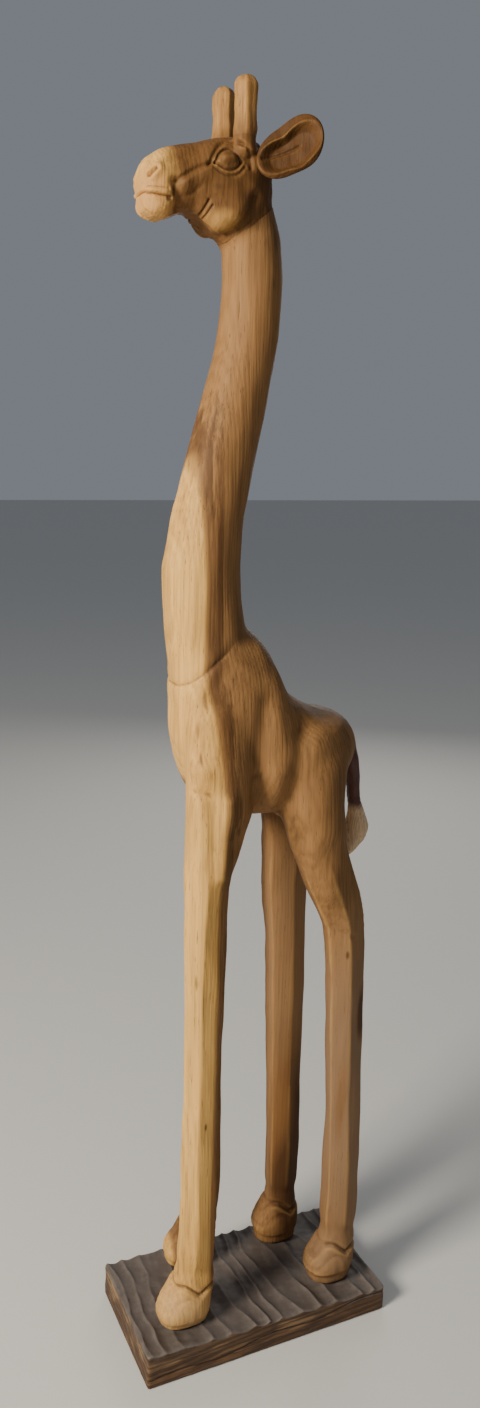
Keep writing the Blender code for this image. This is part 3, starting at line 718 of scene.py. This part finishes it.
# Where each leg's wood departs from the log's plain colours: knots, cracks, patches, hooves and painted
# shade.
PINK_BROWN = (0.232, 0.136, 0.072, 1.0)
HOOF_GREY = (0.430, 0.265, 0.150, 1.0)
PALE_BROWN = (0.350, 0.200, 0.095, 1.0)
LEG_MARKS = {
    "front_left_leg": [
        ((0.073, -0.104, 0.402), (0.010, 0.003, 0.009), 0.9, STREAK),
        ((0.070, -0.120, 0.640), (0.010, 0.003, 0.020), 0.8, STREAK),
        # A dark heartwood patch down the leg's lower side, darkened enough to paint in the shade on
        # that face.
        ((0.072, -0.081, 0.260), (0.040, 0.019, 0.300), 1.4, HEART_RED),
        ((0.055, -0.129, 0.080), (0.050, 0.060, 0.060), 0.8, HOOF_GREY),
    ],
    "front_right_leg": [],
    "hind_left_leg": [
        ((0.045, 0.150, 0.400), (0.140, 0.100, 0.420), 1.0, PINK_BROWN),
        ((0.069, 0.165, 0.530), (0.030, 0.012, 0.060), 1.2, STREAK),
        ((0.070, 0.132, 0.640), (0.010, 0.004, 0.010), 0.9, STREAK),
        ((0.066, 0.135, 0.380), (0.020, 0.010, 0.110), 0.6, HEART_RED),
        ((0.055, 0.130, 0.085), (0.050, 0.060, 0.070), 0.8, PINK_BROWN),
    ],
    "hind_right_leg": [
        ((-0.050, 0.090, 0.600), (0.080, 0.080, 0.330), 0.5, PALE_BROWN),
        ((-0.050, 0.106, 0.240), (0.060, 0.044, 0.280), 1.3, HEART_RED),
        ((-0.050, 0.122, 0.230), (0.050, 0.024, 0.260), 1.0, STREAK),
        ((-0.050, 0.102, 0.160), (0.060, 0.038, 0.130), 1.3, STREAK),
    ],
}
for node in LEG_NODES:
    quarter = ("left" in node, "front" in node)
    leg_mesh = cut_piece(body_mesh, f"{node}_carving", [below_leg_joint], quarter)
    leg_wood = log_wood(f"{node}_wood", border=LEG_BORDER, marks=LEG_MARKS[node])
    add_piece(f"{node}_carving", leg_mesh, leg_wood, "carved_wood", node)
bpy.data.meshes.remove(body_mesh)


# The head and its two horns: one finer skin, so that the eyes, nostrils and lips can be cut in.
# The horns stand on round tenons, and the skin is parted again at their feet.
HEAD_VOXEL = 0.0012
HEAD_SWELL = 0.0008
HEAD_ROUNDS = 14
HORN_SPREAD = 0.035
HORN_Y = -0.046
HORN_FOOT = Vector((0.0, 0.0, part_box("head")[1][2] - 0.004))
HORN_CUTS_FROM = 1.790
HORN_WAIST = (1.828, 0.018, 0.11)
HORN_TAPER = (1.846, 1.872, 0.10)
HORN_FLATS = 6
HORN_FLAT_DEPTH = 0.045
LIP_LINE = 1.7165
MUZZLE_SAP = 0.306
HORN_GOLD = (0.420, 0.215, 0.068, 1.0)
HEAD_BROWN = (0.172, 0.080, 0.025, 1.0)
MUZZLE_TAN = (0.520, 0.265, 0.085, 1.0)
HEAD_MARKS = [
    ((0.000, -0.170, 1.715), (0.070, 0.044, 0.050), 0.9, MUZZLE_TAN),
    ((0.024, -0.078, 1.688), (0.040, 0.036, 0.020), 0.45, SAP_WARM),
    ((0.020, -0.150, 1.709), (0.010, 0.005, 0.006), 1.2, STREAK),
    ((0.014, -0.143, 1.718), (0.014, 0.005, 0.012), 0.9, STREAK),
    ((0.022, -0.086, 1.728), (0.020, 0.010, 0.006), 0.7, STREAK),
]

# The face's cuts and swellings on both cheeks: path in (y, z), height (below 0 is a cut) and half
# width. In order they are the nostril, mouth, lip, groove behind the muzzle, lids and brow, the
# cheek's creases and two cuts, the jaw's edge, and then the rounded forms between them.
FACE = [
    ([(-0.173, 1.7345), (-0.1645, 1.7430)], -0.0052, 0.0024),
    ([(-0.200, 1.7165), (-0.172, 1.7140), (-0.154, 1.7112), (-0.146, 1.7105)], -0.0034, 0.0017),
    ([(-0.192, 1.7235), (-0.161, 1.7212), (-0.150, 1.7205)], -0.0013, 0.0015),
    ([(-0.142, 1.7300), (-0.135, 1.7140), (-0.130, 1.6960)], -0.0046, 0.0064),
    ([(-0.098, 1.7530), (-0.085, 1.7770), (-0.066, 1.7890), (-0.054, 1.7800)], -0.0024, 0.0024),
    ([(-0.058, 1.7820), (-0.044, 1.7750), (-0.041, 1.7540)], -0.0022, 0.0026),
    ([(-0.090, 1.7560), (-0.082, 1.7720), (-0.066, 1.7770), (-0.055, 1.7600)], -0.0034, 0.0017),
    ([(-0.090, 1.7570), (-0.076, 1.7480), (-0.062, 1.7500), (-0.054, 1.7610)], -0.0030, 0.0017),
    ([(-0.092, 1.7510), (-0.076, 1.7410), (-0.060, 1.7430), (-0.050, 1.7540)], -0.0018, 0.0021),
    ([(-0.094, 1.7560), (-0.116, 1.7460), (-0.138, 1.7315)], -0.0034, 0.0036),
    ([(-0.129, 1.7125), (-0.118, 1.7170), (-0.108, 1.7265)], -0.0010, 0.0032),
    ([(-0.102, 1.6965), (-0.096, 1.7120)], -0.0034, 0.0015),
    ([(-0.0955, 1.6950), (-0.0905, 1.7065)], -0.0022, 0.0014),
    ([(-0.078, 1.6700), (-0.057, 1.6780), (-0.040, 1.6980), (-0.032, 1.7220)], -0.0055, 0.0055),
    ([(-0.077, 1.7615), (-0.067, 1.7625)], 0.0050, 0.0062),
    ([(-0.172, 1.7370), (-0.162, 1.7440)], 0.0044, 0.0075),
    ([(-0.126, 1.7330), (-0.100, 1.7440)], 0.0034, 0.0100),
    ([(-0.098, 1.6860), (-0.074, 1.6880), (-0.056, 1.7030)], 0.0066, 0.0150),
    ([(-0.172, 1.6980), (-0.155, 1.6970)], 0.0036, 0.0090),
    ([(-0.180, 1.7195), (-0.155, 1.7165)], 0.0022, 0.0040),
    ([(-0.140, 1.7560), (-0.110, 1.7680)], -0.0028, 0.0110),
]


def pare_horns(points):
    """The horns' knife flats: they flare at the foot, narrow in the middle and round off on top."""
    for side in (1, -1):
        middle = BODY_X + side * HORN_SPREAD
        ours = (points[:, 2] > HORN_CUTS_FROM) & ((points[:, 0] > BODY_X) == (side > 0))
        x, y, z = points[ours, 0] - middle, points[ours, 1] - HORN_Y, points[ours, 2]
        turn = np.arctan2(y, x) + 3 * (z - HORN_CUTS_FROM)
        flats = 1 + HORN_FLAT_DEPTH * np.cos(HORN_FLATS * turn + side)
        waist = HORN_WAIST[2] * bell(z - HORN_WAIST[0], HORN_WAIST[1])
        taper = HORN_TAPER[2] * ease(z, HORN_TAPER[0], HORN_TAPER[1])
        girth = 1.06 - waist - taper
        scale = 1 + (flats * girth - 1) * ease(z, HORN_CUTS_FROM, HORN_CUTS_FROM + 0.012)
        points[ours, 0] = middle + x * scale
        points[ours, 1] = HORN_Y + y * scale


def carve_head(mesh):
    """Pares the horns, cuts the face on both sides, and joins the lips round the snout's end."""
    points = coordinates(mesh)
    pare_horns(points)
    move_points(mesh, points)
    facing = normals(mesh)
    look = ease(np.abs(facing[:, 0]), 0.10, 0.45)
    push = np.zeros(len(points))
    for path, height, width in FACE:
        push += look * height * bell(stroke_distance(points, path), width)
    snout = ease(-points[:, 1], 0.166, 0.176) * (1 - look)
    push -= snout * 0.0034 * bell(points[:, 2] - LIP_LINE, 0.0018)
    push += 0.00035 * wobble(points, 0.010, 31) + 0.0005 * wobble(points, 0.028, 32)
    move_points(mesh, points + facing * push[:, None])


HEAD_FILL = [((BODY_X + side * 0.033, -0.046, 1.7790), 0.0165) for side in (1, -1)]
HEAD_FILL += [((BODY_X + side * 0.030, -0.034, 1.7600), 0.0175) for side in (1, -1)]
head_mesh = skin_over(
    "head",
    ["head", "head_dowel", "left_horn", "right_horn", "neck"],
    HEAD_VOXEL,
    HEAD_SWELL,
    HEAD_ROUNDS,
    HEAD_FILL,
)
carve_head(head_mesh)
store_patina_and_highlight(head_mesh, 6, 760)
above_head_joint = (HEAD_JOINT, -tilted_normal(HEAD_TILT))
below_horn_foot = (HORN_FOOT, Vector((0, 0, 1)))
above_horn_foot = (HORN_FOOT, Vector((0, 0, -1)))
skull_mesh = cut_piece(head_mesh, "head_carving", [above_head_joint, below_horn_foot])
head_wood = log_wood("head_wood", HEAD_BROWN, MUZZLE_SAP, 0.013, 0.12, HEAD_MARKS)
add_piece("head_carving", skull_mesh, head_wood, "carved_wood", "head")
for side_name, side in (("left", 1), ("right", -1)):
    beyond = (Vector((BODY_X, 0, 0)), Vector((-side, 0, 0)))
    horn_mesh = cut_piece(head_mesh, f"{side_name}_horn_carving", [above_horn_foot, beyond])
    foot = (BODY_X + side * HORN_SPREAD, HORN_Y, HORN_FOOT.z - 0.012)
    dark_foot = (foot, (0.04, 0.04, 0.05), 1.1, HEAD_BROWN)
    add_piece(
        f"{side_name}_horn_carving",
        horn_mesh,
        log_wood(f"{side_name}_horn_wood", HORN_GOLD, marks=[dark_foot]),
        "carved_wood",
        f"{side_name}_horn",
    )
bpy.data.meshes.remove(head_mesh)


# The ears: one dished leaf each, with a thick rolled rim and a gouged centre line.
# Each is carved apart and pegged into the side of the head.
EAR_ROOT = Vector((0.029, -0.030, 1.760))
EAR_TIP = Vector((0.071, 0.041, 1.802))
EAR_FACE = Vector((0.80, -0.60, 0.10))
EAR_BROWN = (0.112, 0.049, 0.014, 1.0)
EAR_SPOKES = 160
EAR_RINGS = 44
EAR_RIM = 0.0055
EAR_BACK = 0.0100
EAR_CURL = 0.0045
EAR_DISH = 0.0074

# The leaf's edge and the edge of its hollow, in millimetres along the ear and across it from its
# middle. In metres, the folded line down the hollow, the ridge under it, and the pit at its root.
EAR_EDGE = [(46, 5), (42, 17), (31, 27), (6, 27), (-20, 22), (-38, 18), (-46, 6)]
EAR_EDGE += [(-48, -10), (-44, -24), (-22, -31), (2, -34), (20, -33), (33, -25), (42, -11)]
HOLLOW_EDGE = [(40, 3), (36, 11), (24, 14), (3, 11), (-17, 9), (-34, 10), (-41, 4)]
HOLLOW_EDGE += [(-42, -8), (-38, -18), (-20, -25), (2, -28), (18, -27), (29, -20), (37, -9)]
HOLLOW_MIDDLE = complex(-0.002, -0.007)
FOLD = [(-0.039, 0.002), (-0.026, -0.0005), (-0.012, -0.003), (0.001, -0.0046), (0.009, -0.004)]
FOLD_RIDGE = [(along, across - 0.006) for along, across in FOLD]
EAR_PIT = [(-0.038, 0.006), (-0.024, 0.006), (-0.012, 0.007)]


def round_reach(edge, centre, turns):
    """How far a fair outline lies from a centre in each direction."""
    offsets = [complex(a / 1000, b / 1000) - centre for a, b in edge]
    angles = np.angle(offsets)
    order = np.argsort(angles)
    even = np.linspace(-math.pi, math.pi, 256, endpoint=False)
    reach = np.interp(even, angles[order], np.abs(offsets)[order], period=math.tau)
    waves = np.fft.rfft(reach)
    waves[5:] = 0
    return np.interp(turns, even, np.fft.irfft(waves, len(even)), period=math.tau)


def ear_mesh(name, side):
    """A leaf of two sheets, dished in front and domed behind, that meet at its edge."""
    root = Vector((BODY_X + side * (EAR_ROOT.x - BODY_X), EAR_ROOT.y, EAR_ROOT.z))
    tip = Vector((BODY_X + side * (EAR_TIP.x - BODY_X), EAR_TIP.y, EAR_TIP.z))
    along = (tip - root).normalized()
    outward = Vector((side * EAR_FACE.x, EAR_FACE.y, EAR_FACE.z))
    face = (outward - along * outward.dot(along)).normalized()
    across = face.cross(along) * side
    turns = np.arange(EAR_SPOKES) * math.tau / EAR_SPOKES - math.pi
    edge = round_reach(EAR_EDGE, 0, turns)
    share = np.sin(np.linspace(0, math.pi / 2, EAR_RINGS + 1))[1:]
    spots = (share[:, None] * edge * np.exp(1j * turns)).ravel()
    share = np.repeat(share, EAR_SPOKES)
    inner = spots - HOLLOW_MIDDLE
    dip = np.abs(inner) / round_reach(HOLLOW_EDGE, HOLLOW_MIDDLE, np.angle(inner))
    u, v = spots.real, spots.imag
    dome = np.sqrt(np.clip(1 - share ** 3, 0, 1))
    front = EAR_RIM * np.clip(1 - share ** 6, 0, 1) ** 0.5
    front -= EAR_DISH * (1 - ease(dip, 0.70, 1.04))
    front += 0.0022 * bell(dip - 1.10, 0.10) * (share < 0.97)
    flat = np.column_stack((u * 0, u, v))
    front -= 0.0024 * bell(stroke_distance(flat, FOLD), 0.0019)
    front += 0.0006 * bell(stroke_distance(flat, FOLD_RIDGE), 0.0040)
    front -= 0.0024 * bell(stroke_distance(flat, EAR_PIT), 0.0060)
    rear = -EAR_BACK * dome
    curl = EAR_CURL * (np.abs(spots) / 0.045) ** 2
    front += 0.00025 * wobble(flat, 0.009, 41)
    sheets = []
    for lift in (front + curl, rear + curl):
        sheet = np.outer(u, along) + np.outer(v, across) + np.outer(lift, face)
        sheets.append(sheet + np.array((root + tip) / 2))
    ring = (EAR_RINGS - 1) * EAR_SPOKES
    points = [*sheets[0], *sheets[1][:ring]]
    points += [sheets[0][:EAR_SPOKES].mean(axis=0), sheets[1][:EAR_SPOKES].mean(axis=0)]
    faces = []
    for sheet in (0, 1):
        start = sheet * len(sheets[0])
        hub = len(points) - 2 + sheet
        for spoke in range(EAR_SPOKES):
            after = (spoke + 1) % EAR_SPOKES
            faces.append((hub, start + spoke, start + after))
            for level in range(EAR_RINGS - 1):
                near, far = start + level * EAR_SPOKES, start + (level + 1) * EAR_SPOKES
                if sheet and level == EAR_RINGS - 2:
                    far = ring
                faces.append((near + spoke, far + spoke, far + after, near + after))
    mesh = bpy.data.meshes.new(name)
    mesh.from_pydata([tuple(point) for point in points], [], faces)
    work = bmesh.new()
    work.from_mesh(mesh)
    bmesh.ops.recalc_face_normals(work, faces=work.faces)
    work.to_mesh(mesh)
    work.free()
    store_patina_and_highlight(mesh, 6, 800)
    return mesh


for side_name, side in (("left", 1), ("right", -1)):
    add_piece(
        f"{side_name}_ear_carving",
        ear_mesh(f"{side_name}_ear_carving", side),
        log_wood(f"{side_name}_ear_wood", EAR_BROWN),
        "carved_wood",
        f"{side_name}_ear",
    )


# The tail: a strip of dark heartwood let into the rump, ending in a paler tuft.
# It hangs clear of the thighs and its tip curls forward.
TAIL_DARK = (0.085, 0.022, 0.014, 1.0)
TAIL_PALE = (0.74, 0.50, 0.28, 1.0)
TAIL_VOXEL = 0.0014
TAIL_SWELL = 0.0006
TAIL_ROUNDS = 8
TUFT_TOP = (0.862, 0.842)
TUFT_MIDDLE_Y = 0.190
TUFT_SPREAD = 0.22
TUFT_LEAN = 0.003
TIP_CURL = 0.022


def tail_finish():
    made = Finish("tail_wood")
    height = made.axis("Z")
    hair = made.noise((420, 420, 14), 3, 0.6)
    patch = made.noise((40, 40, 12), 3)
    tuft = made.rise(height + (patch - 0.5) * 0.02, *TUFT_TOP)
    colour = made.mix(tuft, TAIL_DARK, TAIL_PALE)
    colour = made.mix(made.rise(hair, 0.45, 0.7) * 0.4, colour, STREAK)
    return made.finish(colour, 0.42 + (hair - 0.5) * 0.3, hair, 0.0010)


def comb_tail(mesh):
    """Spreads the tuft, curls its tip forward and combs it with fine cuts."""
    points = coordinates(mesh)
    facing = normals(mesh)
    low = 1 - ease(points[:, 2], 0.800, 0.860)
    points[:, 1] += low * ((points[:, 1] - TUFT_MIDDLE_Y) * TUFT_SPREAD - TUFT_LEAN)
    points[:, 1] -= TIP_CURL * (1 - ease(points[:, 2], 0.745, 0.815))
    combed = np.sin(points[:, 0] * 1500 + 14 * np.sin(points[:, 2] * 40) + points[:, 1] * 900)
    push = 0.0007 * combed * (1 - ease(points[:, 2], 0.850, 0.880)) + 0.0006 * wobble(points, 0.012, 51)
    move_points(mesh, points + facing * push[:, None])


tail_skin = skin_over("tail_carving", ["tail"], TAIL_VOXEL, TAIL_SWELL, TAIL_ROUNDS)
comb_tail(tail_skin)
store_patina_and_highlight(tail_skin, 5, 800)
add_piece("tail_carving", tail_skin, tail_finish(), "tail_heartwood", "tail")


# The hidden fixings: plain hardwood dowels across the glue joints, and one countersunk steel
# screw driven up through the plank into each hoof. They keep their plain turned shapes.
DOWEL_PALE = (0.62, 0.46, 0.27, 1.0)
DOWEL_DARK = (0.50, 0.34, 0.18, 1.0)
ZINC_PALE = (0.60, 0.60, 0.56, 1.0)
ZINC_DARK = (0.48, 0.47, 0.42, 1.0)


def dowel_finish():
    made = Finish("dowel_wood")
    grain = made.noise((500, 500, 20), 3)
    colour = made.mix(made.rise(grain, 0.4, 0.7), DOWEL_PALE, DOWEL_DARK)
    return made.finish(colour, 0.55 + (grain - 0.5) * 0.2, grain, 0.0003)


def screw_finish():
    made = Finish("zinc_plate")
    cloud = made.noise((300, 300, 300), 3)
    colour = made.mix(cloud, ZINC_PALE, ZINC_DARK)
    made.shader.inputs["Metallic"].default_value = 1.0
    return made.finish(colour, 0.30 + cloud * 0.2, cloud, 0.0001)


for kind, finish in (("dowel", dowel_finish()), ("screw", screw_finish())):
    for name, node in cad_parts.items():
        if kind in name:
            node.data.materials.clear()
            node.data.materials.append(finish)
